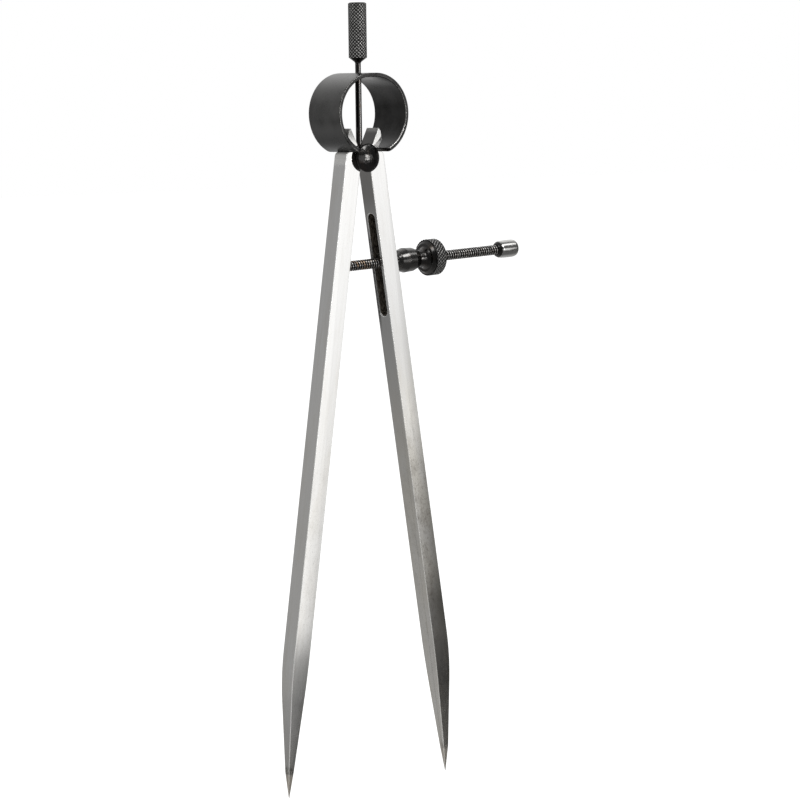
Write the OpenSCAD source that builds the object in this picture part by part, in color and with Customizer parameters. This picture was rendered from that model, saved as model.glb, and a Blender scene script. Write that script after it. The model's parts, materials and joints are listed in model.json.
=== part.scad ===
// Spring divider: two square legs on a fulcrum spool, a bow spring that opens them
// and a swivelling screw with a ball-nosed sleeve and a knurled nut that closes them.
// Millimetres, +Z up, origin on the work surface midway between the two points.

/* [Legs] */
// Fulcrum axis to point, along the leg
leg_length = 250; // [200:1:300]
// Side of the square leg bar
leg_bar = 7.5; // [7:0.1:8.5]
// Fulcrum axis to the inner face of a leg
leg_offset = 1.8; // [1.5:0.1:2.1]
// Half the angle between the legs as drawn, degrees
half_open = 8.6; // [6:0.1:12]
// Length of the long taper and the point together
taper_length = 57; // [45:1:66]
// Length of the steep point at the end
point_length = 10; // [6:0.5:14]
// Top of a leg above the fulcrum axis, along the leg
horn_rise = 10.4; // [9.5:0.1:11.5]

/* [Fulcrum] */
// Diameter of the spool core that the legs roll on
spool_d = 7.6; // [7:0.1:8]
// Diameter of the domed spool caps
cap_d = 11.2; // [10.4:0.1:12]
// Thickness of a cap at its rim
cap_rim = 1.3; // [1:0.1:1.8]
// Height of the dome above the rim
cap_dome = 1.8; // [1.2:0.1:2.4]

/* [Bow spring] */
// Width across the outside of the bow
bow_width = 34.2; // [33:0.1:36]
// Outside bend radius of each side of the bow
bow_radius = 15.65; // [15:0.05:16.2]
// Crown of the bow above the fulcrum axis
bow_top = 32.8; // [32.4:0.1:33.4]
// Width of the spring band
band_width = 19.5; // [16:0.1:22]
// Thickness of the spring band
band_thick = 1.55; // [1.4:0.05:1.7]

/* [Handle] */
// Diameter of the grip
grip_d = 7.1; // [6.4:0.1:8]
// Length of the straight grip
grip_length = 21.3; // [18:0.1:26]
// Length of the bare neck between the crown and the grip cone
neck_length = 4.1; // [3:0.1:6]
// Diameter of the stem inside the bow
stem_d = 2.45; // [2.2:0.05:2.7]

/* [Adjusting screw] */
// Thread diameter of the screw
screw_d = 4; // [3.6:0.1:4.2]
// Fulcrum axis to the screw pivot, along the leg
screw_drop = 43.5; // [40:0.5:50]
// Screw pivot to the stop collar
screw_reach = 80.6; // [72:0.1:95]
// Length of the slot in the inner face of the right leg
slot_length = 41; // [30:1:46]
// Diameter of the pivot pin
pin_d = 2.5; // [2:0.1:2.8]

/* [Nut and sleeve] */
// Diameter of the thrust sleeve
sleeve_d = 9.8; // [9:0.1:10.4]
// Ball centre to the far end of the sleeve
sleeve_length = 12.1; // [11:0.1:14]
// Diameter of the ball nose
nose_d = 5.8; // [5.6:0.1:6]
// Diameter of the nut hub
hub_d = 6.7; // [6:0.1:7.4]
// Length of the nut hub
hub_length = 4; // [3.4:0.1:6]
// Diameter of the knurled nut rim
nut_d = 14.4; // [13:0.1:16]
// Width of the knurled nut rim
nut_width = 6.2; // [5.4:0.05:7]

/* [Screw end] */
// Diameter of the stop collar
collar_d = 6.4; // [6:0.1:6.8]
// Length of the stop collar
collar_length = 2.1; // [1.8:0.1:3]
// Diameter of the end ferrule
ferrule_d = 7.1; // [6.6:0.1:7.6]
// Length of the end ferrule
ferrule_length = 8.4; // [7:0.1:10]

/* [Hidden] */
$fn = 96;

// Fits, as radial or one-sided clearance
run_fit = 0.05;
press_fit = 0.01;
side_fit = 0.3;
thread_fit = 0.09;
far = 100;

// Leg frame: origin on the fulcrum axis, +X out of the tool, leg hanging along -Z
leg_mid = leg_offset + leg_bar / 2;
leg_out = leg_offset + leg_bar;
taper_top = leg_length - taper_length;
taper_end = leg_length - point_length;
taper_w = leg_bar / 3;
tip_w = leg_bar / 25;
taper_run = taper_length * 0.35;
taper_fall = (leg_bar - taper_w) / (taper_end - taper_top - taper_run / 2);
relief = leg_bar * 0.09;
relief_drop = spool_d * 0.5;
fulcrum_z = leg_length * cos(half_open) - leg_offset * sin(half_open);

// Bow: two bends joined by a short flat crown
bow_shift = bow_width / 2 - bow_radius;
bow_z = bow_top - bow_radius;
bow_in = bow_radius - band_thick;
bow_cut = asin((leg_mid + leg_bar * 0.247 - bow_shift) / bow_radius);

// Inner corner of the spring end, first about the fulcrum, then in the leg frame
end_x = bow_shift + bow_in * sin(bow_cut);
end_z = bow_z - bow_in * cos(bow_cut);
seat_x = end_x * cos(half_open) + end_z * sin(half_open);
seat_z = end_z * cos(half_open) - end_x * sin(half_open);
groove_x = seat_x - run_fit * 2;
groove_z = seat_z + band_thick * 0.1;
lip_r = leg_bar * 0.253;
lip_z = -leg_bar * 0.067;
lip_top = acos((groove_x - leg_out + lip_r) / lip_r);
horn_flat = leg_bar * 0.113;
horn_x = leg_out - horn_flat;
horn_cut = groove_z + (leg_out - groove_x) * 1.1;
bevel_slope = 0.687;
bevel_foot = horn_rise - (horn_x - leg_offset - relief) / bevel_slope;

// Screw: both pivots stand at one radius from the fulcrum, so its tilt never changes
seat_drop = sqrt(pow(screw_drop, 2) + pow(leg_mid, 2) - pow(leg_out, 2));
screw_tilt = atan((leg_out - leg_mid) / (screw_drop + seat_drop));
pivot_x = -leg_mid * cos(half_open) - screw_drop * sin(half_open);
pivot_z = fulcrum_z + leg_mid * sin(half_open) - screw_drop * cos(half_open);
ball_x = leg_out * cos(half_open) + seat_drop * sin(half_open);
ball_at = (ball_x - pivot_x) / cos(screw_tilt);
screw_end = screw_reach + collar_length + ferrule_length * 0.7;
eye_r = pin_d / 2 + screw_d * 0.36;
eye_w = screw_d - side_fit / 3;
pin_skin = leg_bar * 0.1;
slot_w = screw_d + side_fit * 2;
slot_depth = leg_bar * 0.59;
mouth_length = slot_w * 2.5;

// Sleeve stations from the ball centre
nose_r = nose_d / 2;
nose_cut = nose_r * 0.47;
nose_back = nose_r * 0.55;
shoulder_end = sleeve_length * 0.21;
shoulder_r = sleeve_d * 0.41;
cone_end = sleeve_length * 0.445;
barrel_end = sleeve_length * 0.777;
mouth_r = hub_d / 2 + side_fit;
nut_at = sleeve_length + run_fit * 2;
nut_edge = nut_d * 0.03;
nut_bevel = nut_d * 0.055;
hub_flare = hub_length * 0.4;

// Handle stations above the fulcrum axis
stem_foot = -spool_d * 0.25;
cone_foot = bow_top + neck_length;
cone_rise = grip_d * 0.25;
grip_foot = cone_foot + cone_rise;
grip_top = grip_foot + grip_length;
grip_edge = grip_d * 0.06;
core_half = leg_bar / 2 + side_fit;
dome_r = (pow(cap_d / 2, 2) + pow(cap_dome, 2)) / (2 * cap_dome);

module along_x(len, r1, r2)
{
    rotate([0, 90, 0])
        cylinder(h = len, r1 = r1, r2 = r2);
}

module along_y(len, r)
{
    rotate([90, 0, 0])
        cylinder(h = len, r = r, center = true);
}

module at_fulcrum()
{
    translate([0, 0, fulcrum_z])
        children();
}

module on_right()
{
    at_fulcrum()
        rotate([0, -half_open, 0])
            children();
}

module on_left()
{
    mirror([1, 0, 0])
        on_right()
            children();
}

module on_screw(x)
{
    translate([pivot_x, 0, pivot_z])
        rotate([0, -screw_tilt, 0])
            translate([x, 0, 0])
                children();
}

// Width of the leg at a depth below the start of the taper, which bends in smoothly
function width_at(s) = s < taper_run
    ? leg_bar - taper_fall * s * s / (2 * taper_run)
    : leg_bar - taper_fall * (s - taper_run / 2);

// Square taper whose inner face stays in the plane of the leg's inner face
module taper(z_hi, w_hi, z_lo, w_lo)
{
    x = leg_offset;
    polyhedron(
        points = [
            [x, -w_lo / 2, z_lo], [x + w_lo, -w_lo / 2, z_lo],
            [x + w_lo, w_lo / 2, z_lo], [x, w_lo / 2, z_lo],
            [x, -w_hi / 2, z_hi], [x + w_hi, -w_hi / 2, z_hi],
            [x + w_hi, w_hi / 2, z_hi], [x, w_hi / 2, z_hi]
        ],
        faces = [
            [0, 1, 2, 3], [4, 7, 6, 5], [0, 4, 5, 1],
            [1, 5, 6, 2], [2, 6, 7, 3], [3, 7, 4, 0]
        ]
    );
}

// Bar, bevelled horn, spring groove, half-round fulcrum notch and tapered point
module leg_blank()
{
    difference()
    {
        union()
        {
            rotate([90, 0, 0])
                linear_extrude(height = leg_bar, center = true)
                    polygon(concat(
                        [
                            [leg_offset, -taper_top],
                            [leg_out, -taper_top],
                            [leg_out, lip_z]
                        ],
                        [for (i = [1:5]) [
                            leg_out - lip_r + lip_r * cos(lip_top * i / 5),
                            lip_z + lip_r * sin(lip_top * i / 5)
                        ]],
                        [
                            [groove_x, groove_z],
                            [leg_out, horn_cut],
                            [leg_out, horn_rise - horn_flat * 1.5],
                            [horn_x, horn_rise],
                            [leg_offset + relief, bevel_foot],
                            [leg_offset + relief, -relief_drop / 2],
                            [leg_offset, -relief_drop]
                        ]
                    ));
            for (i = [0:4])
                taper(
                    -taper_top - taper_run * i / 5, width_at(taper_run * i / 5),
                    -taper_top - taper_run * (i + 1) / 5, width_at(taper_run * (i + 1) / 5)
                );
            taper(-taper_top - taper_run, width_at(taper_run), -taper_end, taper_w);
            taper(-taper_end, taper_w, -leg_length, tip_w);
        }
        along_y(leg_bar * 2, spool_d / 2 + run_fit);
    }
}

// Slot with round ends, cut along X
module round_slot(x, depth, len)
{
    straight = (len - slot_w) / 2;
    translate([x, 0, -seat_drop])
    {
        translate([0, 0, straight])
            along_x(depth, slot_w / 2, slot_w / 2);
        translate([0, 0, -straight])
            along_x(depth, slot_w / 2, slot_w / 2);
        translate([0, -slot_w / 2, -straight])
            cube([depth, slot_w, straight * 2]);
    }
}

module left_leg()
{
    color("silver")
        on_left()
            difference()
            {
                leg_blank();
                translate([0, -slot_w / 2, -screw_drop - eye_r - side_fit])
                    cube([leg_mid + eye_r + side_fit, slot_w, eye_r + screw_d * 1.45]);
                translate([leg_mid, (leg_bar / 2 + pin_skin - press_fit) / 2, -screw_drop])
                    along_y(leg_bar * 1.5 - pin_skin + press_fit, pin_d / 2 + press_fit);
            }
}

module right_leg()
{
    color("silver")
        on_right()
            difference()
            {
                leg_blank();
                round_slot(0, leg_offset + slot_depth, slot_length);
                round_slot(leg_mid, leg_bar, mouth_length);
                translate([leg_out, 0, -seat_drop])
                    sphere(r = nose_r + run_fit * 2);
            }
}

module bow_loop(r, len)
{
    translate([-bow_shift, 0, bow_z])
        along_y(len, r);
    translate([bow_shift, 0, bow_z])
        along_y(len, r);
    translate([-bow_shift, -len / 2, bow_z - r])
        cube([bow_shift * 2, len, r * 2]);
}

module bow_spring()
{
    color("dimgray")
        at_fulcrum()
            difference()
            {
                bow_loop(bow_radius, band_width);
                bow_loop(bow_in, band_width * 2);
                rotate([90, 0, 0])
                    linear_extrude(height = band_width * 2, center = true)
                        polygon([
                            [-bow_shift, bow_z],
                            [-bow_shift - far * sin(bow_cut), bow_z - far * cos(bow_cut)],
                            [bow_shift + far * sin(bow_cut), bow_z - far * cos(bow_cut)],
                            [bow_shift, bow_z]
                        ]);
                translate([0, 0, bow_z])
                    cylinder(h = bow_radius * 2, r = stem_d / 2 + run_fit);
            }
}

module cap()
{
    rotate([90, 0, 0])
    {
        cylinder(h = cap_rim, d1 = cap_d - cap_rim * 1.6, d2 = cap_d);
        translate([0, 0, cap_rim])
            intersection()
            {
                cylinder(h = cap_dome * 2, d = cap_d);
                translate([0, 0, cap_dome - dome_r])
                    sphere(r = dome_r);
            }
    }
}

module fulcrum_spool()
{
    color("black")
        at_fulcrum()
            difference()
            {
                union()
                {
                    along_y(core_half * 2, spool_d / 2);
                    translate([0, -core_half, 0])
                        cap();
                    mirror([0, 1, 0])
                        translate([0, -core_half, 0])
                            cap();
                }
                translate([0, 0, stem_foot])
                    cylinder(h = spool_d, r = stem_d / 2 + press_fit);
            }
}

module handle()
{
    color("black")
        at_fulcrum()
        {
            translate([0, 0, stem_foot])
                cylinder(h = bow_top - stem_foot, d = stem_d);
            translate([0, 0, bow_top])
                cylinder(h = neck_length, d = stem_d * 0.9);
            translate([0, 0, cone_foot])
                cylinder(h = cone_rise, d1 = stem_d * 1.15, d2 = grip_d);
            translate([0, 0, grip_foot])
                cylinder(h = grip_length - grip_edge, d = grip_d);
            translate([0, 0, grip_top - grip_edge])
                cylinder(h = grip_edge, d1 = grip_d, d2 = grip_d - grip_edge * 2);
        }
}

module adjusting_screw()
{
    color("black")
        on_screw(0)
            difference()
            {
                union()
                {
                    along_y(eye_w, eye_r);
                    along_x(screw_end, screw_d / 2, screw_d / 2);
                }
                along_y(screw_d * 3, pin_d / 2 + run_fit);
            }
}

module pivot_pin()
{
    color("silver")
        on_screw(0)
            translate([0, pin_skin / 2, 0])
                along_y(leg_bar - pin_skin, pin_d / 2);
}

// Ball nose, shoulder, cone, barrel and rear taper, bored to slide on the thread
module thrust_sleeve()
{
    color("black")
        on_screw(ball_at)
            difference()
            {
                union()
                {
                    intersection()
                    {
                        sphere(r = nose_r);
                        translate([-nose_back, 0, 0])
                            along_x(nose_back + nose_cut, nose_d, nose_d);
                    }
                    translate([nose_cut, 0, 0])
                        along_x(shoulder_end - nose_cut, sqrt(pow(nose_r, 2) - pow(nose_cut, 2)), shoulder_r);
                    translate([shoulder_end, 0, 0])
                        along_x(cone_end - shoulder_end, shoulder_r, sleeve_d / 2);
                    translate([cone_end, 0, 0])
                        along_x(barrel_end - cone_end, sleeve_d / 2, sleeve_d / 2);
                    translate([barrel_end, 0, 0])
                        along_x(sleeve_length - barrel_end, sleeve_d / 2, mouth_r);
                }
                translate([-sleeve_length, 0, 0])
                    along_x(sleeve_length * 3, screw_d / 2 + thread_fit, screw_d / 2 + thread_fit);
            }
}

// Flared hub on a knurled rim with a broad bevel towards the hub
module adjusting_nut()
{
    color("black")
        on_screw(ball_at + nut_at)
            difference()
            {
                union()
                {
                    along_x(hub_length + nut_width / 2, hub_d / 2, hub_d / 2);
                    translate([hub_length - hub_flare, 0, 0])
                        along_x(hub_flare * 1.25, hub_d / 2, hub_d / 2 + hub_flare);
                    translate([hub_length, 0, 0])
                        along_x(nut_bevel, nut_d / 2 - nut_bevel, nut_d / 2);
                    translate([hub_length + nut_bevel, 0, 0])
                        along_x(nut_width - nut_bevel - nut_edge, nut_d / 2, nut_d / 2);
                    translate([hub_length + nut_width - nut_edge, 0, 0])
                        along_x(nut_edge, nut_d / 2, nut_d / 2 - nut_edge);
                }
                translate([-hub_length, 0, 0])
                    along_x(hub_length * 2 + nut_width * 2, screw_d / 2 + thread_fit, screw_d / 2 + thread_fit);
            }
}

module stop_collar()
{
    color("black")
        on_screw(screw_reach)
            difference()
            {
                union()
                {
                    along_x(collar_length * 0.6, screw_d / 2 + side_fit, collar_d / 2);
                    translate([collar_length * 0.6, 0, 0])
                        along_x(collar_length * 0.4, collar_d / 2, collar_d / 2);
                }
                translate([-collar_length, 0, 0])
                    along_x(collar_length * 3, screw_d / 2 + press_fit, screw_d / 2 + press_fit);
            }
}

module end_ferrule()
{
    round = ferrule_d * 0.12;
    color("silver")
        on_screw(screw_reach + collar_length + press_fit)
            difference()
            {
                union()
                {
                    along_x(ferrule_length - round, ferrule_d / 2, ferrule_d / 2);
                    translate([ferrule_length - round, 0, 0])
                        along_x(round, ferrule_d / 2, ferrule_d / 2 - round);
                }
                translate([-ferrule_length, 0, 0])
                    along_x(ferrule_length * 1.75, screw_d / 2 + press_fit, screw_d / 2 + press_fit);
            }
}

left_leg();
right_leg();
bow_spring();
fulcrum_spool();
handle();
adjusting_screw();
pivot_pin();
thrust_sleeve();
adjusting_nut();
stop_collar();
end_ferrule();
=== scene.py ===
"""Looks of a toolmaker's spring divider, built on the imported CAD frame.

Places come from the frame's joints and mounts. The other sizes are in millimetres and repeat the named
values of the part's source. Objects are made in metres.
"""
import json
import math
from types import SimpleNamespace

import bpy
from mathutils import Matrix, Vector


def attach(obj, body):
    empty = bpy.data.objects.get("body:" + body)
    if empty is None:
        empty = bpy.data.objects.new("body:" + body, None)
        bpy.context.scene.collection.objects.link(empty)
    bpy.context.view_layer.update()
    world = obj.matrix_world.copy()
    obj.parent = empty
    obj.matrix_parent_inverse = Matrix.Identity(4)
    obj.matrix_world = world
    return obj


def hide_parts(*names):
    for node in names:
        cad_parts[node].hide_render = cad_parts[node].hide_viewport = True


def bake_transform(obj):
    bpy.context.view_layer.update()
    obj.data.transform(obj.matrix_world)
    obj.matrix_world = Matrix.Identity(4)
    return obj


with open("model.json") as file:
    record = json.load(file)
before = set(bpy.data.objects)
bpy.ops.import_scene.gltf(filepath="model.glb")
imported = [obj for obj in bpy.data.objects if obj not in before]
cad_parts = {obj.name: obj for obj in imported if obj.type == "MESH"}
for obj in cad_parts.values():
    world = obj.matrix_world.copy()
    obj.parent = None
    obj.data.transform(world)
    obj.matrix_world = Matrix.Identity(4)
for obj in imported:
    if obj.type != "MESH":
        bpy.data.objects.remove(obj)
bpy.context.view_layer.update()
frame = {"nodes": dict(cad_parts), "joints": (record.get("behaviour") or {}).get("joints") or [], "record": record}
scene = bpy.context.scene

# Places from the frame, in mm
MM = 0.001
JOINTS = {joint["name"]: joint for joint in frame["joints"]}
MOUNTS = {mount["name"]: mount for mount in frame["record"]["mounts"]}
FULCRUM = JOINTS["left_leg_open"]["pos_m"][2] / MM    # height of the fulcrum axis
PIVOT = Vector(JOINTS["screw_swivel"]["pos_m"]) / MM  # screw pivot in the left leg
BALL = Vector(JOINTS["sleeve_swivel"]["pos_m"]) / MM  # ball of the sleeve in the right leg
BALL_AT = (BALL - PIVOT).length                       # the ball, along the screw
SCREW_AXIS = JOINTS["nut_turn"]["axis"]
TILT = math.atan2(SCREW_AXIS[2], SCREW_AXIS[0])       # tilt of the screw
GRIP = MOUNTS["handle"]["dims"]
GRIP_MIDDLE = MOUNTS["handle"]["pos_m"][2] / MM - FULCRUM

# Sizes that repeat the part's source, in mm
HALF_OPEN = math.radians(8.6)  # half the angle between the legs
LEG_BAR = 7.5                  # square bar of the legs
LEG_IN = 1.8                   # inner face of a leg, from the fulcrum axis
LEG_OUT = LEG_IN + LEG_BAR
POINT_AT = -240.0              # start of the ground point, along the leg
SLOT_HALF = 2.3                # half the width of the slot for the screw
SLOT_ENDS = (-64.0, -20.0)     # reach of the slots along the legs, with room above
SPOOL_R = 3.8
CORE_HALF = 4.05               # half the length of the spool's core
STEM_R = 1.225
STEM_FOOT = -1.9
NECK_LENGTH = 4.1
GRIP_EDGE = 0.426              # rounded top of the grip, above the knurl
BOW_WIDTH = 34.2
BOW_R = 15.65                  # outside radius of the bow's two arcs
BOW_TOP = 32.8
BOW_SHIFT = BOW_WIDTH / 2 - BOW_R
BOW_Z = FULCRUM + BOW_TOP - BOW_R
BAND = 1.55                    # thickness of the spring band
BAND_W = 19.5                  # its width
BAND_END_X = LEG_IN + LEG_BAR * 0.747
BOW_END = math.pi - math.asin((BAND_END_X - BOW_SHIFT) / BOW_R)    # angle of the end, from straight up
THREAD_R = 2.0
PITCH = 1.15
NUT_BORE = THREAD_R + 0.09
CAP_BORE = THREAD_R + 0.02
SLEEVE_LENGTH = 12.1
RUN_GAP = 0.1                  # between sleeve and nut
NUT_AT = BALL_AT + SLEEVE_LENGTH + RUN_GAP
COLLAR_AT = 80.6
COLLAR_LENGTH = 2.11           # with the gap to the ferrule
FERRULE_AT = COLLAR_AT + COLLAR_LENGTH

# Limits of the mesh helpers
ON_AXIS = 1e-6        # a smaller radius is a point on the axis
ARC_STEPS = 3         # straight stretches in a rounded corner
NEARLY_FLAT = 0.03    # radians: a flatter corner stays as it is
CORNER_SHARE = 0.45   # the most of a side that one corner takes


def screw_frame(station):
    """Local +Z runs along the screw, from a station on it."""
    turn = Matrix.Rotation(math.pi / 2 - TILT, 4, "Y")
    return Matrix.Translation(PIVOT) @ turn @ Matrix.Translation((0, 0, station))


def rounded(points, radius, closed=False):
    """The outline with its corners rounded; a point may carry its own radius as a third number."""
    out = []
    count = len(points)
    for i, point in enumerate(points):
        p = Vector(point[:2])
        r = point[2] if len(point) > 2 else radius
        if not closed and i in (0, count - 1):
            out.append(tuple(p))
            continue
        a = Vector(points[i - 1][:2]) - p
        b = Vector(points[(i + 1) % count][:2]) - p
        half = a.angle(b) / 2
        if r <= 0 or abs(half - math.pi / 2) < NEARLY_FLAT:
            out.append(tuple(p))
            continue
        reach = min(r / math.tan(half), a.length * CORNER_SHARE, b.length * CORNER_SHARE)
        away = reach / math.cos(half)
        middle = p + (a.normalized() + b.normalized()).normalized() * away
        start = p + a.normalized() * reach - middle
        end = p + b.normalized() * reach - middle
        swing = start.angle_signed(end)
        for k in range(ARC_STEPS + 1):
            t = -swing * k / ARC_STEPS
            out.append((
                middle.x + start.x * math.cos(t) - start.y * math.sin(t),
                middle.y + start.x * math.sin(t) + start.y * math.cos(t),
            ))
    return out


class Mesh:
    """Collects the points, in mm, and the faces of one piece."""

    def __init__(self):
        self.points = []
        self.faces = []         # point numbers and material number
        self.knurl_start = 0    # first face of the knurl
        self.grooves = set()    # edges that stay sharp in the knurl

    def add(self, point):
        self.points.append(tuple(point))
        return len(self.points) - 1

    def face(self, ids, material=0):
        self.faces.append((list(ids), material))

    def turn(self, profile, count, closed=False):
        """Lathe about local +Z; the profile holds stations and radii."""
        turns = [2 * math.pi * k / count for k in range(count)]
        rings = []
        for z, r in profile:
            if r < ON_AXIS:
                rings.append([self.add((0, 0, z))])
            else:
                rings.append([self.add((r * math.cos(t), r * math.sin(t), z)) for t in turns])
        pairs = list(zip(rings, rings[1:]))
        if closed:
            pairs.append((rings[-1], rings[0]))
        for low, high in pairs:
            for k in range(count):
                j = (k + 1) % count
                if len(low) == 1:
                    self.face((low[0], high[j], high[k]))
                elif len(high) == 1:
                    self.face((low[k], low[j], high[0]))
                else:
                    self.face((low[k], low[j], high[j], high[k]))

    def knurl(self, radius, depth, starts, low, high, half_rows, flat, inner, inset):
        """Diamond knurl: grooves cut both ways round a cylinder leave pyramids.

        flat is the share of a pyramid that its worn top takes, both ways. The ends of the band run in to
        the inner radius over the inset. Tops take material 1, grooves and walls material 2.
        """
        crest, flank = 1, 2
        grid = 200    # steps of one pyramid that tell its points apart
        pitch = (high - low) * 2 / half_rows
        shared = {}
        rims = {0: [], half_rows: []}
        self.knurl_start = len(self.faces)

        def at(u, v, r):
            key = (round(u * grid) % (starts * grid), round(v * grid), round(r / MM))
            if key not in shared:
                t = 2 * math.pi * u / starts
                shared[key] = self.add((r * math.cos(t), r * math.sin(t), low + v * pitch))
            return shared[key]

        def end_wall(row, bottom_ids, top_ids):
            z = low - inset if row == 0 else high + inset
            line = [bottom_ids[0], top_ids[0], top_ids[2], bottom_ids[2]]
            foot = []
            for i in line:
                x, y, _ = self.points[i]
                share = inner / math.hypot(x, y)
                foot.append(self.add((x * share, y * share, z)))
            for k in range(3):
                quad = (line[k], foot[k], foot[k + 1], line[k + 1])
                self.face(quad if row == 0 else quad[::-1], flank)
                self.grooves.add(tuple(sorted((line[k], line[k + 1]))))
            rims[row] += foot[:3]

        for row in range(half_rows + 1):
            v = row / 2
            keep = {0: [0, 2, 3], half_rows: [0, 1, 2]}.get(row, [0, 1, 2, 3])
            for n in range(starts):
                u = n + 0.5 * (row % 2)
                corners = [(u - 0.5, v), (u, v - 0.5), (u + 0.5, v), (u, v + 0.5)]
                tops = []
                for a, b in corners:
                    one = (a - u + b - v) * flat[0]
                    other = (a - u - b + v) * flat[1]
                    top_v = min(max(v + (one - other) / 2, 0.0), half_rows / 2)
                    tops.append((u + (one + other) / 2, top_v))
                bottom_ids = {k: at(*corners[k], radius - depth) for k in keep}
                top_ids = {k: at(*tops[k], radius) for k in keep}
                self.face([top_ids[k] for k in keep], crest)
                for a, b in ((0, 1), (1, 2), (2, 3), (3, 0)):
                    if a in bottom_ids and b in bottom_ids:
                        self.face((bottom_ids[a], bottom_ids[b], top_ids[b], top_ids[a]), flank)
                        self.grooves.add(tuple(sorted((bottom_ids[a], bottom_ids[b]))))
                if row in rims:
                    end_wall(row, bottom_ids, top_ids)
        # inner wall of the band
        count = starts * 3
        for k in range(count):
            j = (k + 1) % count
            self.face((rims[0][k], rims[half_rows][k], rims[half_rows][j], rims[0][j]), flank)


def piece(shape, name, materials, body, node, place=None):
    """An object that stands for a CAD node; without a body, it is left unattached."""
    place = place or Matrix.Identity(4)
    mesh = bpy.data.meshes.new(name)
    points = [tuple((place @ Vector(p)) * MM) for p in shape.points]
    mesh.from_pydata(points, [], [ids for ids, _ in shape.faces])
    for material in materials:
        mesh.materials.append(material)
    for polygon, (_, number) in zip(mesh.polygons, shape.faces):
        polygon.material_index = number
        polygon.use_smooth = True
    mesh.update()
    obj = bpy.data.objects.new(name, mesh)
    scene.collection.objects.link(obj)
    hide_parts(node)
    if body:
        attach(obj, body)
    return obj


def shade_smooth(obj, angle=40, knurled=None):
    """Smooth shading that keeps corners sharper than the angle; in a knurl only the grooves stay sharp."""
    mesh = obj.data
    mesh.set_sharp_from_angle(angle=math.radians(angle))
    if knurled:
        inside = {key for p in mesh.polygons if p.index >= knurled.knurl_start for key in p.edge_keys}
        for edge in mesh.edges:
            if edge.key in inside:
                edge.use_edge_sharp = edge.key in knurled.grooves
    normals = obj.modifiers.new("normals", "WEIGHTED_NORMAL")
    normals.keep_sharp = True


class Graph:
    """Short hand for a node tree: inputs are numbers or sockets."""

    def __init__(self, tree):
        self.tree = tree
        tree.nodes.clear()

    def node(self, kind, inputs=None, **settings):
        n = self.tree.nodes.new("ShaderNode" + kind)
        for key, value in settings.items():
            setattr(n, key, value)
        for key, value in (inputs or {}).items():
            self.put(n.inputs[key], value)
        return n

    def put(self, socket, value):
        if isinstance(value, bpy.types.NodeSocket):
            self.tree.links.new(value, socket)
        else:
            socket.default_value = value

    def math(self, operation, *values):
        return self.node("Math", dict(enumerate(values)), operation=operation).outputs[0]

    def chain(self, operation, first, *others):
        for value in others:
            first = self.math(operation, first, value)
        return first

    def times(self, *values):
        return self.chain("MULTIPLY", *values)

    def plus(self, *values):
        return self.chain("ADD", *values)

    def most(self, *values):
        return self.chain("MAXIMUM", *values)

    def less(self, value, taken):
        return self.math("SUBTRACT", value, taken)

    def vector(self, operation, *values):
        n = self.node("VectorMath", dict(enumerate(values)), operation=operation)
        return n.outputs["Value" if operation in ("DOT_PRODUCT", "LENGTH") else "Vector"]

    def parts(self, vector):
        return self.node("SeparateXYZ", {0: vector}).outputs

    def ramp(self, value, low, high, to_low=0.0, to_high=1.0, smooth=True):
        ends = {"From Min": low, "From Max": high, "To Min": to_low, "To Max": to_high}
        kind = "SMOOTHSTEP" if smooth else "LINEAR"
        return self.node("MapRange", {"Value": value, **ends}, interpolation_type=kind).outputs["Result"]

    def curve(self, value, steps):
        """A level that follows (value, level) steps, in rising order."""
        low, high = steps[0][0], steps[-1][0]
        n = self.node("ValToRGB", {"Fac": self.ramp(value, low, high, smooth=False)})
        elements = n.color_ramp.elements
        while len(elements) < len(steps):
            elements.new(0.5)
        for element, (at, level) in zip(elements, steps):
            element.position = (at - low) / (high - low)
            element.color = (level, level, level, 1.0)
        return n.outputs["Color"]

    def noise(self, vector, scale, detail, rough):
        inputs = {"Vector": vector, "Scale": scale, "Detail": detail, "Roughness": rough}
        return self.node("TexNoise", inputs).outputs["Fac"]

    def mix(self, share, a, b):
        """Colour a, with a share of colour b over it."""
        n = self.node("Mix", {"Factor": share}, data_type="RGBA")
        for index, value in ((6, a), (7, b)):
            self.put(n.inputs[index], value if isinstance(value, bpy.types.NodeSocket) else (*value, 1.0))
        return n.outputs[2]

    def output(self, shader, kind="OutputMaterial"):
        self.tree.links.new(shader.outputs[0], self.node(kind).inputs["Surface"])

    def surface(self, base, rough, height, bump, distance=0.02, metal=1.0):
        """Metal with a fine relief, whose distance is in mm."""
        relief = self.node("Bump", {"Height": height, "Strength": bump, "Distance": distance * MM})
        self.output(self.node("BsdfPrincipled", {
            "Base Color": base, "Roughness": rough, "Metallic": metal, "Normal": relief.outputs["Normal"],
        }))


def new_material(name):
    material = bpy.data.materials.new(name)
    material.use_nodes = True
    return material, Graph(material.node_tree)


def millimetres(g):
    """Place in the row frame, in mm."""
    return g.vector("MULTIPLY", g.node("TexCoord").outputs["Object"], (1 / MM, 1 / MM, 1 / MM))


def shade(colour, factor):
    return tuple(c * factor for c in colour)
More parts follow.
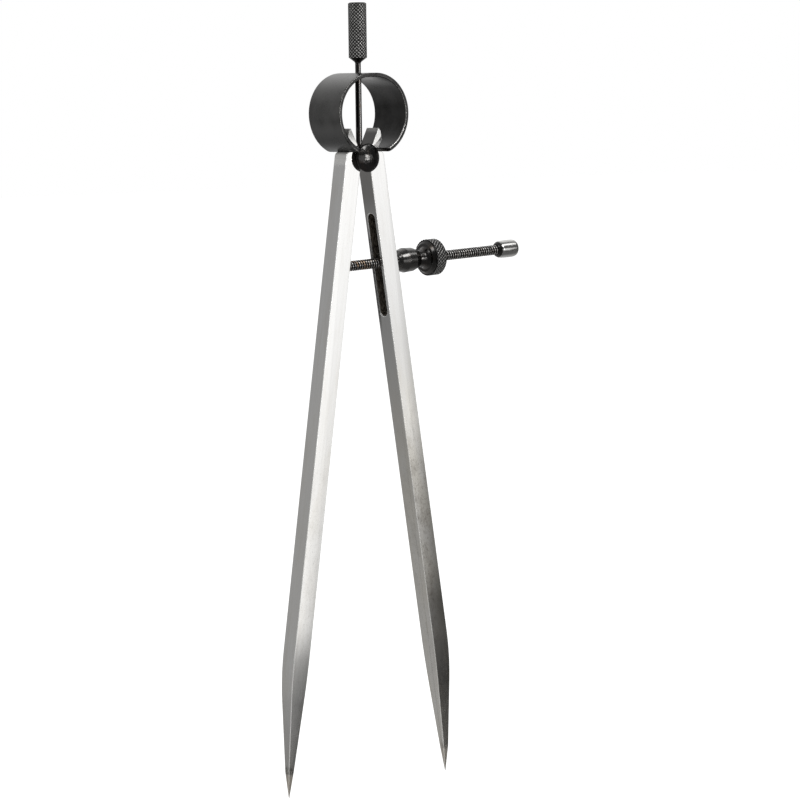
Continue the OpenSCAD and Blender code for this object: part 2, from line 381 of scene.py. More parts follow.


# Wear of each leg: the most that each mark covers; the table of painted shade gives the cover of a dark reflection
# painted on the front, at heights along the leg
LEFT = SimpleNamespace(
    side=-1, worn=0.12, tip=0.95, crotch=0.3, warm=0.25, stain=0.15, ground=0.5, painted_shade=None, smear=None,
)
RIGHT = SimpleNamespace(
    side=1, worn=0.3, tip=0.2, crotch=0.45, warm=0.85, stain=0.75, ground=0.2, smear=(0.9, 0.55),
    # painted shade: a dark reflection painted into the front's colour, by height along the leg
    painted_shade=(
        (-240.0, 0.2), (-225.0, 0.4), (-210.0, 0.65), (-195.0, 0.76), (-180.0, 0.78),
        (-165.0, 0.5), (-150.0, 0.46), (-135.0, 0.37), (-120.0, 0.24), (-105.0, 0.02),
        (-90.0, 0.1), (-75.0, 0.14), (-60.0, 0.1), (-30.0, 0.06), (0.0, 0.0),
    ),
)


class LegMap:
    """Places on one leg, in mm along its own axes from the fulcrum, and the textures its marks share."""

    def __init__(self, g, side):
        c, s = math.cos(HALF_OPEN), math.sin(HALF_OPEN)
        p = g.vector("SUBTRACT", millimetres(g), (0.0, 0.0, FULCRUM))
        self.g = g
        self.x = g.vector("DOT_PRODUCT", p, (side * c, 0.0, s))
        self.y = g.vector("DOT_PRODUCT", p, (0.0, 1.0, 0.0))
        self.z = g.vector("DOT_PRODUCT", p, (-side * s, 0.0, c))
        self.off_middle = g.math("ABSOLUTE", self.y)
        self.local = g.node("CombineXYZ", {0: self.x, 1: self.y, 2: self.z}).outputs[0]
        facing = g.vector("DOT_PRODUCT", g.node("NewGeometry").outputs["Normal"], (0.0, -1.0, 0.0))
        self.front = g.ramp(facing, 0.6, 0.9)
        self.inner_face = g.ramp(self.x, LEG_IN + 0.5, LEG_IN + 0.1)
        self.fine = self.texture(2.08, 0.65, 5.0, 0.65)
        self.patch = self.texture(0.22, 0.05, 3.0, 0.5)
        grain = self.texture(4.0, 0.12, 5.0, 0.65)
        self.tone = g.plus(g.times(grain, 0.45), g.times(self.fine, 0.55))
        rubbed_and_highlights = g.ramp(self.texture(2.6, 0.22, 5.0, 0.7), 0.5, 0.72)
        self.rubbed_and_highlights = rubbed_and_highlights
        self.rubbed_low = g.times(rubbed_and_highlights, g.ramp(self.z, -110.0, -190.0))

    def texture(self, across, along, detail, rough):
        """Noise with its own scale across and along the leg."""
        stretched = self.g.vector("MULTIPLY", self.local, (across, across, along))
        return self.g.noise(stretched, 1.0, detail, rough)


def ground_steel(g, at, wear):
    """Bare steel: grain along the leg, streaks, rubbing low down and dull patches."""
    base = g.mix(g.ramp(at.tone, 0.3, 0.66), (0.885, 0.88, 0.868), (0.925, 0.92, 0.908))
    streak = g.ramp(at.texture(0.55, 0.012, 3.0, 0.55), 0.42, 0.64)
    base = g.mix(g.times(streak, 0.14), base, (0.70, 0.685, 0.66))
    base = g.mix(g.times(at.rubbed_low, wear.worn), base, (0.50, 0.48, 0.45))
    return g.mix(g.times(g.ramp(at.patch, 0.48, 0.72), 0.25), base, (0.72, 0.68, 0.62))


def tempered_point(g, at, base):
    """Straw temper colour on the point, and a scorched ring where it starts."""
    edge = g.plus(at.z, g.times(at.fine, 6.0))
    straw = g.times(g.ramp(edge, POINT_AT + 5.0, POINT_AT), 0.8)
    base = g.mix(straw, base, (0.66, 0.57, 0.46))
    ring = g.ramp(g.math("ABSOLUTE", g.less(at.z, POINT_AT + 0.5)), 2.6, 0.5)
    scorch = g.times(ring, g.ramp(at.fine, 0.4, 0.52), 0.85)
    return g.mix(scorch, base, (0.10, 0.085, 0.07)), straw


def worn_head(g, at, wear, base):
    """Marks round the fulcrum, with soil and painted shade below it; gives the colour, the darker head and the
    dull places.
    """
    # darker above the fulcrum, away from the ground front and back
    between = g.ramp(at.off_middle, LEG_BAR / 2 - 0.05, LEG_BAR / 2 - 0.13)
    scale = g.times(g.ramp(at.z, 2.6, 3.4), between)
    base = g.mix(scale, base, (0.16, 0.155, 0.15))
    # front that dulls towards the horn's tip
    tip = g.times(g.ramp(at.z, 4.4, 8.6, 0.0, wear.tip), at.front)
    base = g.mix(tip, base, (0.30, 0.295, 0.285))
    # dull lip under the end of the bow
    outer = g.ramp(at.x, LEG_OUT - 2.3, LEG_OUT - 1.3)
    lip = g.times(outer, g.ramp(at.z, -5.0, -1.0), g.ramp(at.front, 1.0, 0.0))
    base = g.mix(g.times(lip, 0.85), base, (0.40, 0.395, 0.38))
    # brown soil and painted shade on the inner face below the fulcrum, growing towards it
    crotch = g.times(at.inner_face, g.ramp(at.z, -28.0, -14.0, 0.0, wear.crotch))
    return g.mix(crotch, base, (0.28, 0.25, 0.22)), scale, tip, lip


def handled_front(g, at, wear, base):
    """Warm marks, stains and painted shade that stands in for a dark reflection on the front, growing towards the
    point; gives the colour and the stains.
    """
    warm = g.times(g.ramp(at.z, -55.0, -130.0, 0.0, wear.warm), g.ramp(at.patch, 0.3, 0.6, 0.5, 1.0))
    base = g.mix(warm, base, (0.86, 0.825, 0.75))
    pits = g.ramp(at.texture(1.1, 0.605, 3.0, 0.7), 0.5, 0.66)
    blots = g.ramp(at.texture(0.3, 0.14, 3.0, 0.6), 0.46, 0.66)
    specks = g.ramp(at.texture(1.9, 1.14, 2.0, 0.5), 0.6, 0.68)
    marks = g.plus(g.times(pits, 0.45), g.times(blots, 0.5), g.times(specks, 0.7))
    stain = g.times(marks, g.ramp(at.z, -80.0, -150.0, 0.0, wear.stain))
    base = g.mix(g.times(stain, g.ramp(at.front, 0.0, 1.0, 0.3, 1.0)), base, (0.34, 0.31, 0.27))
    # painted shade on the front faces, by height: a dark reflection painted into the colour
    if wear.painted_shade:
        base = g.mix(g.times(g.curve(at.z, wear.painted_shade), at.front), base, (0.02, 0.017, 0.014))
    # painted shade on the front where the ground taper starts
    taper = g.times(g.ramp(at.z, -180.0, -198.0, 0.0, wear.ground), g.ramp(at.z, -214.0, -199.0, 0.62, 1.0))
    return g.mix(g.times(taper, at.front), base, (0.12, 0.118, 0.114)), stain


def soiled_slot(g, at, wear, base):
    """Grime in the screw slot, and an oily smear along its rear side; gives the colour and the grime."""
    low, high = SLOT_ENDS
    inside_y = g.ramp(at.off_middle, SLOT_HALF + 0.12, SLOT_HALF)
    inner, outer = g.ramp(at.x, LEG_IN + 0.15, LEG_IN + 0.5), g.ramp(at.x, LEG_OUT - 0.1, LEG_OUT - 0.4)
    lower, upper = g.ramp(at.z, low, low + 1.0), g.ramp(at.z, high, high - 1.0)
    grime = g.times(inside_y, inner, outer, lower, upper)
    soil = g.mix(g.ramp(at.fine, 0.42, 0.62), (0.020, 0.017, 0.014), (0.13, 0.112, 0.09))
    base = g.mix(grime, base, soil)
    if wear.smear:
        beside = g.times(at.inner_face, g.ramp(at.y, SLOT_HALF - 0.4, SLOT_HALF + 0.1))
        reach = g.times(g.ramp(at.z, low - 8.0, low + 4.0), g.ramp(at.z, high - 6.0, high - 16.0))
        smear = g.times(beside, reach, g.ramp(at.fine, 0.36, 0.6, *wear.smear))
        base = g.mix(smear, base, (0.035, 0.031, 0.026))
    return base, grime


def leg_material(name, wear, edge=False):
    """Ground tool steel with its wear and with painted shade; the broken edges are brighter and half dull."""
    material, g = new_material(name)
    at = LegMap(g, wear.side)
    base = ground_steel(g, at, wear)
    base, straw = tempered_point(g, at, base)
    base, scale, tip, lip = worn_head(g, at, wear, base)
    base, stain = handled_front(g, at, wear, base)
    if edge:
        base = g.mix(g.ramp(at.rubbed_and_highlights, 0.0, 1.0, 0.35, 0.8), base, (0.93, 0.925, 0.91))
    base, grime = soiled_slot(g, at, wear, base)
    rough = g.plus(
        g.ramp(at.tone, 0.3, 0.7, 0.05, 0.085, smooth=False),
        g.times(at.rubbed_low, 0.08),
        g.times(stain, 0.16),
        g.ramp(at.z, -176.0, -206.0, 0.0, 0.1),
        g.times(g.most(lip, tip), 0.25),
        g.times(g.most(grime, scale, straw), 0.3),
        0.22 if edge else 0.0,
    )
    metal = g.less(1.0, g.times(g.most(grime, lip), 0.8))
    if edge:
        metal = g.times(metal, 0.6)
    g.surface(base, rough, at.tone, 0.04, metal=metal)
    return material


def spring_material(name, dark, light, rubbed_and_highlights=(), foot=1.0):
    """Hardened strip: dull dark grey with soft clouds and fine mottling.

    The listed spots are painted highlights, by place, reach and colour, and foot is the level of the painted shade
    at the band's ends.
    """
    material, g = new_material(name)
    p = millimetres(g)
    cloud = g.noise(p, 0.13, 3.0, 0.55)
    fine = g.noise(p, 2.4, 5.0, 0.7)
    mottle = g.plus(g.times(fine, 0.45), g.times(cloud, 0.55))
    base = g.mix(g.ramp(mottle, 0.4, 0.6), dark, light)
    # painted shade: the band darker towards its ends, down to foot at the bottom
    lit = g.ramp(g.parts(p)[2], FULCRUM + 3.0, FULCRUM + 16.0, foot, 1.0)
    base = g.mix(lit, (0.0, 0.0, 0.0), base)
    # painted highlights at the listed spots
    for place, reach, colour in rubbed_and_highlights:
        gap = g.vector("MULTIPLY", g.vector("SUBTRACT", p, place), (1.0, 0.55, 1.0))
        spot = g.ramp(g.vector("LENGTH", gap), reach, reach / 8)
        base = g.mix(g.times(spot, 0.75), base, colour)
    g.surface(base, g.ramp(cloud, 0.3, 0.7, 0.24, 0.36, smooth=False), fine, 0.08)
    return material


def black_material(name, wave=0.0, lift=1.0):
    """Black oxide over turned steel: semi-gloss, with brown patches; wave is how uneven the surface is."""
    material, g = new_material(name)
    p = millimetres(g)
    fine = g.noise(p, 3.2, 5.0, 0.7)
    cloud = g.noise(p, 0.45, 4.0, 0.6)
    black = shade((0.055, 0.054, 0.053), lift)
    grey = shade((0.098, 0.096, 0.093), lift)
    base = g.mix(g.ramp(fine, 0.35, 0.65), black, grey)
    base = g.mix(g.times(g.ramp(cloud, 0.5, 0.68), 0.18), base, (0.16, 0.105, 0.065))
    rough = g.ramp(fine, 0.3, 0.7, 0.13, 0.24, smooth=False)
    rough = g.plus(rough, g.times(g.ramp(cloud, 0.45, 0.7), 0.06))
    height = g.plus(g.times(fine, 0.15), g.times(g.noise(p, 0.55, 2.0, 0.5), wave))
    g.surface(base, rough, height, 1.0, distance=0.03)
    return material


def worn_material(name, dark, light, rust=0.0, metal=0.45, gloss=(0.24, 0.36), spread=(0.36, 0.64)):
    """Rubbed crests of knurl and thread, or the grooves between, dark with dirt and painted shade: half dull, to
    read at any angle.
    """
    material, g = new_material(name)
    p = millimetres(g)
    fine = g.noise(p, 1.7, 4.0, 0.65)
    steel, brown = (1.0, 0.985, 0.96), (1.25, 0.82, 0.5)
    base = g.mix(g.ramp(fine, *spread), shade(steel, dark), shade(steel, light))
    between_legs = g.ramp(g.parts(p)[0], 16.0, 10.0, 0.15, 1.0)
    stain = g.times(g.ramp(g.noise(p, 0.4, 3.0, 0.6), 0.45, 0.62), between_legs, rust)
    base = g.mix(stain, base, shade(brown, (dark + light) / 2))
    g.surface(base, g.ramp(fine, 0.3, 0.7, *gloss, smooth=False), fine, 0.2, metal=metal)
    return material


def bright_material(name):
    """Bright turned steel: fine rings round the screw axis, with a little grime."""
    material, g = new_material(name)
    p = g.vector("SUBTRACT", millimetres(g), PIVOT)
    along = g.vector("DOT_PRODUCT", p, (math.cos(TILT), 0.0, math.sin(TILT)))
    rings = g.noise(g.node("CombineXYZ", {0: along}).outputs[0], 3.0, 4.0, 0.7)
    fine = g.noise(p, 1.2, 5.0, 0.65)
    base = g.mix(g.ramp(rings, 0.35, 0.65), (0.54, 0.535, 0.52), (0.70, 0.695, 0.68))
    base = g.mix(g.times(g.ramp(fine, 0.52, 0.72), 0.4), base, (0.42, 0.40, 0.37))
    g.surface(base, g.ramp(rings, 0.3, 0.7, 0.16, 0.23, smooth=False), rings, 0.08)
    return material


FRONT_EDGE = 0.05 - BAND_W / 2
# One spring steel in three copies: the inside is darker as painted shade, and the edge carries painted highlights
SPRING = spring_material("spring_outside", (0.128, 0.127, 0.125), (0.168, 0.166, 0.163), foot=0.13)
SPRING_EDGE = spring_material(
    "spring_edge", (0.07, 0.069, 0.068), (0.20, 0.197, 0.19), foot=0.25,
    # painted highlights: glints along the front edge
    rubbed_and_highlights=[((12.5, FRONT_EDGE, FULCRUM + 6.0), 10.0, (0.92, 0.91, 0.89)),
            ((-7.5, FRONT_EDGE, FULCRUM + 4.0), 6.0, (0.42, 0.412, 0.405))],
)
SPRING_INSIDE_SHADED = spring_material(
    "spring_inside_shaded", (0.036, 0.0355, 0.035), (0.064, 0.063, 0.062), foot=0.75,
    # painted reflection: the bright floor behind, mirrored inside the crown
    rubbed_and_highlights=[((3.0, -1.5, BOW_Z + 13.4), 5.4, (0.36, 0.355, 0.345))],
)
BLACK = black_material("black_oxide")
BLACK_WAVY = black_material("black_oxide_wavy", wave=6.0)
BLACK_RUBBED = black_material("black_oxide_rubbed", lift=1.9)
# knurl grooves: dirt and painted shade, near black
KNURL_GROOVE = worn_material("knurl_groove", 0.008, 0.02)
KNURL_CREST = worn_material("knurl_crest", 0.16, 0.46, metal=0.6)
NUT_CREST = worn_material("nut_crest", 0.10, 0.30, metal=0.6)
# thread grooves: dirt and painted shade, near black
THREAD_GROOVE = worn_material("thread_groove", 0.008, 0.016, rust=0.4)
THREAD_CREST = worn_material(
    "thread_crest", 0.12, 0.74, rust=0.8, metal=0.9, gloss=(0.15, 0.25), spread=(0.4, 0.6),
)
BRIGHT = bright_material("bright_turned")


def dress_leg(node, wear):
    """The CAD node itself, with its flat faces joined and its edges broken."""
    leg = frame["nodes"][node]
    mesh = leg.data
    mesh.materials.clear()
    mesh.materials.append(leg_material(node + "_steel", wear))
    mesh.materials.append(leg_material(node + "_edge", wear, edge=True))
    if "custom_normal" in mesh.attributes:
        mesh.attributes.remove(mesh.attributes["custom_normal"])
    for polygon in mesh.polygons:
        polygon.material_index = 0
        polygon.use_smooth = True
    weld = leg.modifiers.new("weld", "WELD")
    weld.merge_threshold = 0.002 * MM
    flat = leg.modifiers.new("flat", "DECIMATE")
    flat.decimate_type = "DISSOLVE"
    flat.angle_limit = math.radians(0.15)
    bevel = leg.modifiers.new("edges", "BEVEL")
    bevel.width = 0.22 * MM
    bevel.segments = 2
    bevel.limit_method = "ANGLE"
    bevel.angle_limit = math.radians(35)
    bevel.use_clamp_overlap = False
    bevel.material = 1
    bevel.harden_normals = False
    normals = leg.modifiers.new("normals", "WEIGHTED_NORMAL")
    normals.keep_sharp = True
    normals.weight = 100


def make_handle():
    """Stem, neck and cone under a knurled grip, in one turned outline."""
    m = Mesh()
    radius, depth = GRIP["r_mm"], 0.26
    low = GRIP_MIDDLE - GRIP["length_mm"] / 2
    high = GRIP_MIDDLE + GRIP["length_mm"] / 2
    top = high + GRIP_EDGE
    foot = radius - depth - 0.03
    neck_r, neck_top = 1.1, BOW_TOP + NECK_LENGTH
    stem = [
        (STEM_FOOT, 0), (STEM_FOOT, STEM_R), (BOW_TOP - 0.05, STEM_R), (BOW_TOP + 0.15, neck_r),
        (neck_top - 0.3, neck_r, 1.2), (neck_top + 0.2, 1.4, 0.4),
    ]
    grip = [
        (low - 0.16, foot + 0.02), (low + 0.1, foot - 0.1), (high - 0.1, foot - 0.1),
        (high + 0.14, foot + 0.02, 0.08), (top - 0.075, foot - 0.22, 0.08), (top, foot - 0.5, 0.08),
        (top, 0),
    ]
    m.turn(rounded(stem + grip, 0.12), 48)
    m.knurl(radius, depth, 16, low, high, half_rows=31, flat=(0.6, 0.6), inner=foot, inset=0.16)
    obj = piece(m, "handle_knurled", [BLACK, KNURL_CREST, KNURL_GROOVE], "head", "handle",
                Matrix.Translation((0, 0, FULCRUM)))
    shade_smooth(obj, knurled=m)


def make_spool():
    """Core between two domed caps, the same in front and behind."""
    m = Mesh()
    dome_r, apex, dome_edge, steps = 10.6, 7.15, 5.42, 9
    side = [(0, SPOOL_R), (CORE_HALF, SPOOL_R, 0.1), (CORE_HALF, 4.6, 0.1), (5.3, 5.58, 0.12)]
    widest = math.asin(dome_edge / dome_r)
    angles = [widest * (1 - k / steps) for k in range(steps + 1)]
    dome = [(apex - dome_r + dome_r * math.cos(a), dome_r * math.sin(a)) for a in angles]
    half = rounded(side + dome, 0.0)
    m.turn([(-z, r) for z, r in half[::-1]] + half[1:], 72)
    obj = piece(m, "fulcrum_domes", [BLACK_WAVY], "head", "fulcrum_spool",
                Matrix.Translation((0, 0, FULCRUM)) @ Matrix.Rotation(math.pi / 2, 4, "X"))
    shade_smooth(obj)


class BowHalf(Mesh):
    """One half of the bow spring; side is -1 on the left and 1 on the right."""

    OUTSIDE, EDGE, INSIDE = 0, 1, 2      # material numbers
    ROUND = 16                           # points round the band, 4 at each rounded edge
    OUTER_FACE, INNER_FACE = 15, 7       # stretches of the band that are its two broad faces
    CORNER = 1.0                         # round corners at the end of the band
    DROOP = 0.4                          # how much taller the bow is below its middle
    HOLE_R = STEM_R + 0.05               # hole for the stem

    def __init__(self, side):
        super().__init__()
        self.side = side

    def section(self, half_width, shrink=0.0):
        """Radius and y round the band, from its outer rear edge by the inner face to its outer front edge."""
        low, high, wide = BOW_R - BAND + shrink, BOW_R - shrink, half_width - shrink
        r = min(0.32, (high - low) * CORNER_SHARE)
        corners = (
            (high - r, wide - r, 0), (low + r, wide - r, 90),
            (low + r, r - wide, 180), (high - r, r - wide, 270),
        )
        points = []
        for x, y, start in corners:
            for k in range(4):
                t = math.radians(start + 30 * k)
                points.append((x + r * math.cos(t), y + r * math.sin(t)))
        return points

    def band_material(self, k):
        if k == self.OUTER_FACE:
            return self.OUTSIDE
        return self.INSIDE if k % 4 == 3 else self.EDGE

    def facing(self, ids, left_first=True):
        """The face's points in the order that turns it outward on this side."""
        return ids if (self.side < 0) == left_first else ids[::-1]

    def ring(self, angle, section):
        drop = self.DROOP * min(math.cos(angle), 0.0)
        ids = []
        for r, y in section:
            x = self.side * (BOW_SHIFT + r * math.sin(angle))
            ids.append(self.add((x, y, BOW_Z + r * math.cos(angle) + drop)))
        return ids

    def arc(self):
        """The band from the crown to its end in the leg's groove; gives its first ring."""
        steps = 56
        corner, half = self.CORNER, BAND_W / 2
        last = BOW_END - corner / BOW_R
        rings = [self.ring(last * i / steps, self.section(half)) for i in range(steps + 1)]
        for d in (0.85, 0.7, 0.5, 0.35, 0.22, 0.1):
            narrower = corner - math.sqrt(corner ** 2 - (corner - d) ** 2)
            rings.append(self.ring(BOW_END - d / BOW_R, self.section(half - narrower)))
        rings.append(self.ring(BOW_END, self.section(half - corner * 0.86, 0.2)))
        for a, b in zip(rings, rings[1:]):
            for k in range(self.ROUND):
                j = (k + 1) % self.ROUND
                self.face(self.facing((a[k], a[j], b[j], b[k])), self.band_material(k))
        self.face(self.facing(rings[-1]), self.EDGE)
        return rings[0]

    def crown(self, first):
        """Flat stretch from the middle to the arc's first ring, with half of the stem's hole."""
        start = [self.add((0, y, BOW_Z + r)) for r, y in self.section(BAND_W / 2)]
        turns = [math.radians(90 - 18 * k) for k in range(11)]
        upper, under = (
            [self.add((self.side * self.HOLE_R * math.cos(t), self.HOLE_R * math.sin(t), z)) for t in turns]
            for z in (BOW_Z + BOW_R, BOW_Z + BOW_R - BAND)
        )
        for k in range(self.ROUND):
            j = (k + 1) % self.ROUND
            if k == self.OUTER_FACE:
                loop = self.facing([start[k], first[k], first[j], start[j], *upper], left_first=False)
            elif k == self.INNER_FACE:
                loop = self.facing([start[j], *under[::-1], start[k], first[k], first[j]], left_first=False)
            else:
                loop = self.facing((start[k], start[j], first[j], first[k]))
            self.face(loop, self.band_material(k))
        for k in range(len(turns) - 1):
            self.face(self.facing((upper[k], upper[k + 1], under[k + 1], under[k])), self.EDGE)
        # cut faces where the two halves meet, behind and in front of the hole
        for cut in ((*start[:8], under[0], upper[0]), (*start[8:], upper[-1], under[-1])):
            self.face(self.facing(cut, left_first=False), self.EDGE)


def make_bow(side, name):
    """Half of the bow spring."""
    m = BowHalf(side)
    m.crown(m.arc())
    obj = piece(m, name, [SPRING, SPRING_EDGE, SPRING_INSIDE_SHADED], None, "bow_spring")
    shade_smooth(obj, 50)
    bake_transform(obj)


def add_thread(m, begin, end):
    """Rolled thread between two stations, run out at both ends and closed to the axis."""
    depth, around = 0.46, 36
    form = [(0.0, 0.0), (0.42, 0.0), (0.68, 1.0), (0.89, 1.0)]    # one turn: station and share of the depth
    total = int((end - begin) / PITCH) * around
    rows = []
    for i in range(total + 1):
        t = 2 * math.pi * i / around
        row = []
        for along, deep in form:
            z = begin + PITCH * i / around + along
            run_in = min(1.0, max(0.0, (z - begin - 1.2) / 1.6))
            run_out = min(1.0, max(0.0, end + 0.5 - z))
            r = THREAD_R - depth * deep * run_in * run_out
            row.append(m.add((r * math.cos(t), r * math.sin(t), z)))
        rows.append(row)
    for i in range(total):
        a, b = rows[i], rows[i + 1]
        for k in range(3):
            m.face((a[k], b[k], b[k + 1], a[k + 1]), 1 if k == 0 else 0)
        if i + around < total:
            c, d = rows[i + around], rows[i + around + 1]
            m.face((a[3], b[3], d[0], c[0]))
    first = [row[0] for row in rows[:around + 1]] + rows[0][3:0:-1]
    last = [row[3] for row in rows[:total - around - 1:-1]] + rows[total][:3]
    for loop, z in ((first, begin), (last, end)):
        axis = m.add((0, 0, z))
        for a, b in zip(loop, loop[1:] + loop[:1]):
            m.face((b, a, axis))


def add_eye(m):
    """Ring at the left end of the screw, round the pivot pin."""
    half, bore, outside = 1.95, 1.3, 2.69
    eye = Mesh()
    outline = [(-half, bore), (-half, outside), (half, outside), (half, bore)]
    eye.turn(rounded(outline, 0.18, closed=True), 48, closed=True)
    spin = Matrix.Rotation(math.pi / 2, 4, "X")
    offset = len(m.points)
    for point in eye.points:
        m.add(spin @ Vector(point))
    for ids, material in eye.faces:
        m.face([i + offset for i in ids], material)


def make_screw():
    m = Mesh()
    begin, end = 2.2, 88.0
    add_thread(m, begin, end)
    neck = [(-0.6, 0), (-0.6, 1.75), (1.2, 1.95), (1.6, 1.5), (1.6, 0)]
    tail = [(-1.6, 0), (-1.6, 1.45), (0.4, 1.45), (0.4, 0)]
    for outline, station in ((neck, begin), (tail, end)):
        m.turn([(station + z, r) for z, r in outline], 36)
    add_eye(m)
    materials = [THREAD_GROOVE, THREAD_CREST]
    obj = piece(m, "screw_threaded", materials, "screw", "adjusting_screw", screw_frame(0))
    shade_smooth(obj)


def turned(name, outline, count, material, body, node, station):
    """A turned ring on the screw; the outline holds stations, radii and corner radii."""
    m = Mesh()
    m.turn(rounded(outline, 0.15, closed=True), count, closed=True)
    shade_smooth(piece(m, name, [material], body, node, screw_frame(station)))


def make_sleeve():
    """Ball nose, cone, grooved barrel and a mouth for the nut's hub."""
    nose_r, steps = 2.9, 10
    nose_start, nose_turn = -33.4, 61.4
    turns = [math.radians(nose_start + nose_turn * k / steps) for k in range(steps + 1)]
    nose = [(nose_r * math.sin(t), nose_r * math.cos(t), 0) for t in turns]
    barrel = [
        (1.55, 2.62, 0), (2.54, 4.02, 0.6), (5.385, 4.9, 0.25), (5.5, 4.72, 0.1), (5.75, 4.82, 0.2),
        (9.402, 4.64, 0.3), (SLEEVE_LENGTH, 3.65, 0.2), (SLEEVE_LENGTH, NUT_BORE, 0.15),
        (-1.595, NUT_BORE, 0.1),
    ]
    outline = nose + barrel
    turned("sleeve_turned", outline, 72, BLACK_RUBBED, "sleeve", "thrust_sleeve", BALL_AT)


def make_nut():
    """Plain hub and bevels round a knurled rim."""
    m = Mesh()
    radius, depth, low, high = 7.2, 0.3, 5.15, 9.7
    hub_r, face, back = 3.35, 4.0, 10.2
    foot = radius - depth - 0.03
    under = foot - 0.3
    left = [
        (0, NUT_BORE), (0, hub_r, 0.25), (2.5, hub_r, 1.4), (face, 4.5, 0.3), (face, 5.55, 0.6),
        (4.95, 6.5, 0.3), (4.95, 6.78, 0.05), (low - 0.12, foot, 0.06), (low + 0.3, under),
    ]
    right = [
        (high - 0.3, under), (high + 0.12, foot, 0.06), (back, 6.7, 0.1), (back, 2.4, 0.2),
        (back - 0.25, NUT_BORE),
    ]
    core = [(low + 0.3, under), (high - 0.3, under)]
    bore = [(back - 0.25, NUT_BORE), (0, NUT_BORE)]
    for outline in (left, right, core, bore):
        m.turn(rounded(outline, 0.1), 96)
    m.knurl(radius, depth, 32, low, high, half_rows=6, flat=(0.5, 0.86), inner=foot, inset=0.12)
    obj = piece(m, "nut_knurled", [BLACK, NUT_CREST, KNURL_GROOVE], "nut", "adjusting_nut",
                screw_frame(NUT_AT))
    shade_smooth(obj, knurled=m)


def make_collar():
    outline = [(0.4, CAP_BORE), (0.4, 2.3, 0.1), (1.3, 3.05, 0.4), (1.55, 3.1, 0.1), (1.55, CAP_BORE, 0.1)]
    turned("collar_turned", outline, 64, BLACK, "screw", "stop_collar", COLLAR_AT)


def make_ferrule():
    """Barrel-shaped cap with a closed end."""
    mouth, end, depth, pip_r = -0.55, 8.4, 6.3, 0.02
    outline = [
        (mouth, CAP_BORE), (mouth, 3.2, 0.12), (0.1, 3.38, 0.8), (2.6, 3.5, 4.0), (4.6, 3.54, 4.0),
        (6.8, 3.48, 2.0), (7.8, 3.2, 0.9), (end, 2.4, 0.4), (end, 0.4, 0.1), (end - 0.3, pip_r, 0.1),
        (depth, pip_r, 0.1), (depth, CAP_BORE, 0.1),
    ]
    turned("ferrule_turned", outline, 64, BRIGHT, "screw", "end_ferrule", FERRULE_AT)


def make_floor():
    """Pale paper, which metal doesn't mirror."""
    size, low = 6.0, -0.0004    # metres
    mesh = bpy.data.meshes.new("floor")
    corners = [(-size, -size, low), (size, -size, low), (size, size, low), (-size, size, low)]
    mesh.from_pydata(corners, [], [(0, 1, 2, 3)])
    material, g = new_material("floor_paper")
    path = g.node("LightPath").outputs
    paper = g.noise(millimetres(g), 0.02, 3.0, 0.6)
    tone = g.mix(g.ramp(paper, 0.3, 0.7), (0.86, 0.86, 0.855), (0.90, 0.90, 0.895))
    diffuse = g.node("BsdfDiffuse", {"Color": tone}).outputs[0]
    seen = g.most(path["Is Camera Ray"], path["Is Glossy Ray"])
    lift = g.node("Emission", {"Color": (1, 1, 1, 1), "Strength": g.times(seen, 0.82)}).outputs[0]
    dim = g.node("MixShader", {0: g.times(seen, 0.55), 1: diffuse}).outputs[0]
    g.output(g.node("AddShader", {0: dim, 1: lift}))
    mesh.materials.append(material)
    floor = bpy.data.objects.new("floor", mesh)
    scene.collection.objects.link(floor)
    floor.visible_glossy = False


# Level of the white wall in front, across its slanting edge, in degrees
WALL_EDGE = (
    (-18.0, 0.0), (-14.0, 0.06), (-11.0, 0.2), (-10.3, 0.27), (-9.5, 0.33), (-8.7, 0.4), (-8.0, 0.47),
    (-7.1, 0.57), (-6.3, 0.66), (-5.5, 0.74), (-4.6, 0.8), (-3.0, 0.87), (-2.0, 0.92), (0.0, 1.0),
)


def grey_room(g, direction, height):
    """The room that metal mirrors: darker in front and just below the horizon, bright behind."""
    room = g.ramp(g.parts(direction)[1], -0.35, 0.45, 0.09, 0.32)
    dip = g.times(g.ramp(height, -8.0, -12.0), g.ramp(height, -18.5, -13.5), 0.44)
    below = g.ramp(height, -18.0, -30.0, 1.0, 1.6)
    above = g.ramp(height, 12.0, 35.0, 1.0, 1.5)
    room = g.times(room, g.less(1.0, dip), below, above)
    # bright wall behind on the right, and white floor far behind, seen inside the crown of the bow
    lit = (((0.45, 0.65, 0.5), 0.72, 0.97, 0.5), ((0.393, 0.772, -0.5), 0.94, 0.99, 0.35))
    for middle, edge, full, level in lit:
        near = g.vector("DOT_PRODUCT", direction, Vector(middle).normalized())
        room = g.plus(room, g.ramp(near, edge, full, 0.0, level))
    return room


def front_wall(g, azimuth, height):
    """White wall low in front, cut off on its right by a slanting edge."""
    slant = g.plus(height, g.times(g.less(azimuth, 39.0), -2.3))
    return g.times(
        g.curve(slant, WALL_EDGE),
        g.ramp(height, 8.5, 5.5),
        g.ramp(height, -21.0, -9.0),
        g.ramp(azimuth, -30.0, -12.0),
        g.ramp(azimuth, 8.0, 32.0, 0.6, 1.0),
        g.ramp(azimuth, 62.0, 50.0),
    )


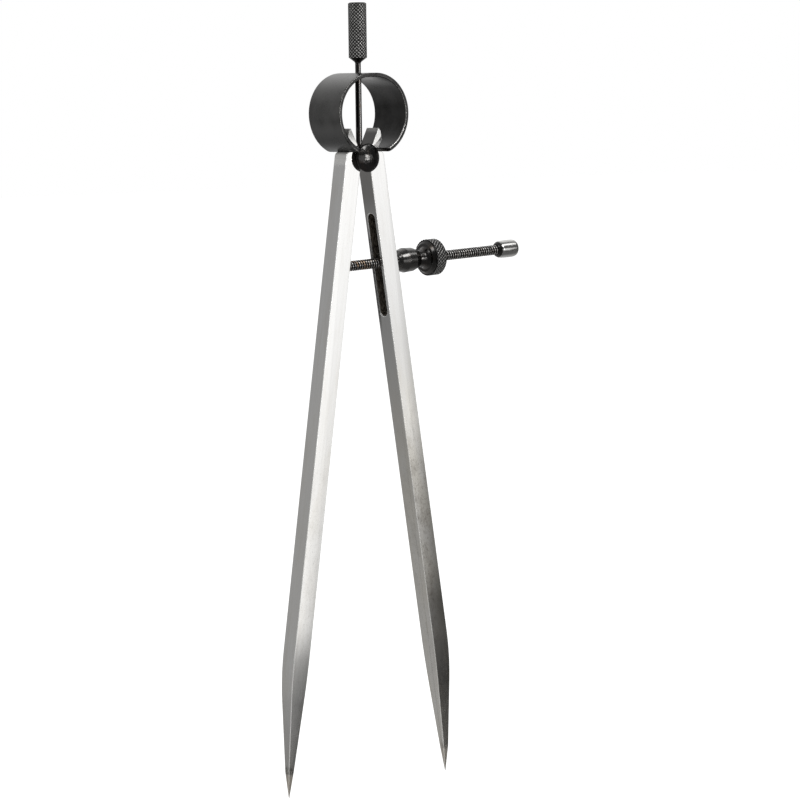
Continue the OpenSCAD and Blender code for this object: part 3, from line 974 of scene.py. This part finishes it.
def make_world():
    """White to the camera, a studio to what mirrors it, and soft light from above to the rest."""
    world = bpy.data.worlds.new("studio")
    scene.world = world
    world.use_nodes = True
    g = Graph(world.node_tree)
    path = g.node("LightPath").outputs
    direction = g.node("TexCoord").outputs["Generated"]
    x, y, z = g.parts(direction)
    degrees = 180 / math.pi
    azimuth = g.times(g.math("ARCTAN2", x, g.times(y, -1.0)), degrees)
    height = g.times(g.math("ARCSINE", z), degrees)
    studio = g.plus(grey_room(g, direction, height), front_wall(g, azimuth, height))
    soft = g.ramp(z, -0.3, 1.0, 0.31, 0.95, smooth=False)
    mirrored = g.most(path["Is Glossy Ray"], path["Is Transmission Ray"])
    level = g.ramp(mirrored, 0.0, 1.0, soft, studio, smooth=False)
    level = g.ramp(path["Is Camera Ray"], 0.0, 1.0, level, 1.0, smooth=False)
    g.output(g.node("Background", {"Color": (1, 1, 1, 1), "Strength": level}), "OutputWorld")


def toward(azimuth, elevation):
    """Unit vector, by degrees: azimuth 0 is in front of the object and grows to its right."""
    a, e = math.radians(azimuth), math.radians(elevation)
    return Vector((math.sin(a) * math.cos(e), -math.cos(a) * math.cos(e), math.sin(e)))


def make_lamp(name, azimuth, elevation, distance, size, power):
    """A round lamp aimed at the heads of the legs; lengths in metres, power in watts."""
    light = bpy.data.lights.new(name, "AREA")
    light.shape = "DISK"
    light.size = size
    light.energy = power
    lamp = bpy.data.objects.new(name, light)
    scene.collection.objects.link(lamp)
    away = toward(azimuth, elevation)
    aim = Vector((0.02, 0, 0.2))
    lamp.location = aim + away * distance
    lamp.rotation_mode = "QUATERNION"
    lamp.rotation_quaternion = away.to_track_quat("Z", "Y")
    lamp.visible_camera = False


def make_camera():
    """The photograph's view, found by fitting the outline of the part."""
    azimuth, elevation, roll = -38.76552, 5.38756, math.radians(-0.78599)
    distance, off_right, off_up = 1.3281381, 0.0157892, -0.0940823    # from the fulcrum, in metres
    back = toward(azimuth, elevation)
    level = Vector((math.cos(math.radians(azimuth)), math.sin(math.radians(azimuth)), 0))
    upright = back.cross(level)
    right = level * math.cos(roll) + upright * math.sin(roll)
    up = upright * math.cos(roll) - level * math.sin(roll)
    data = bpy.data.cameras.new("camera")
    data.sensor_width = 36.0
    data.lens = 153.889
    data.clip_start = 0.05
    data.clip_end = 50.0
    camera = bpy.data.objects.new("camera", data)
    scene.collection.objects.link(camera)
    place = Matrix((right, up, back)).transposed().to_4x4()
    place.translation = Vector((0, 0, FULCRUM * MM)) + back * distance + right * off_right + up * off_up
    camera.matrix_world = place
    scene.camera = camera


dress_leg("left_leg", LEFT)
dress_leg("right_leg", RIGHT)
dress_leg("pivot_pin", LEFT)
make_handle()
make_spool()
make_bow(1, "bow_right")
make_bow(-1, "bow_left")
make_screw()
make_sleeve()
make_nut()
make_collar()
make_ferrule()

scene.view_settings.view_transform = "Standard"
make_floor()
make_world()
make_lamp("key", azimuth=57, elevation=45, distance=1.3, size=0.42, power=0.8)
make_lamp("spot", azimuth=21, elevation=3, distance=1.6, size=0.34, power=3.6)
make_lamp("fill", azimuth=16, elevation=46, distance=1.4, size=0.62, power=6.0)
make_lamp("side", azimuth=-72, elevation=42, distance=1.3, size=0.5, power=2.6)
make_camera()

bpy.context.view_layer.update()
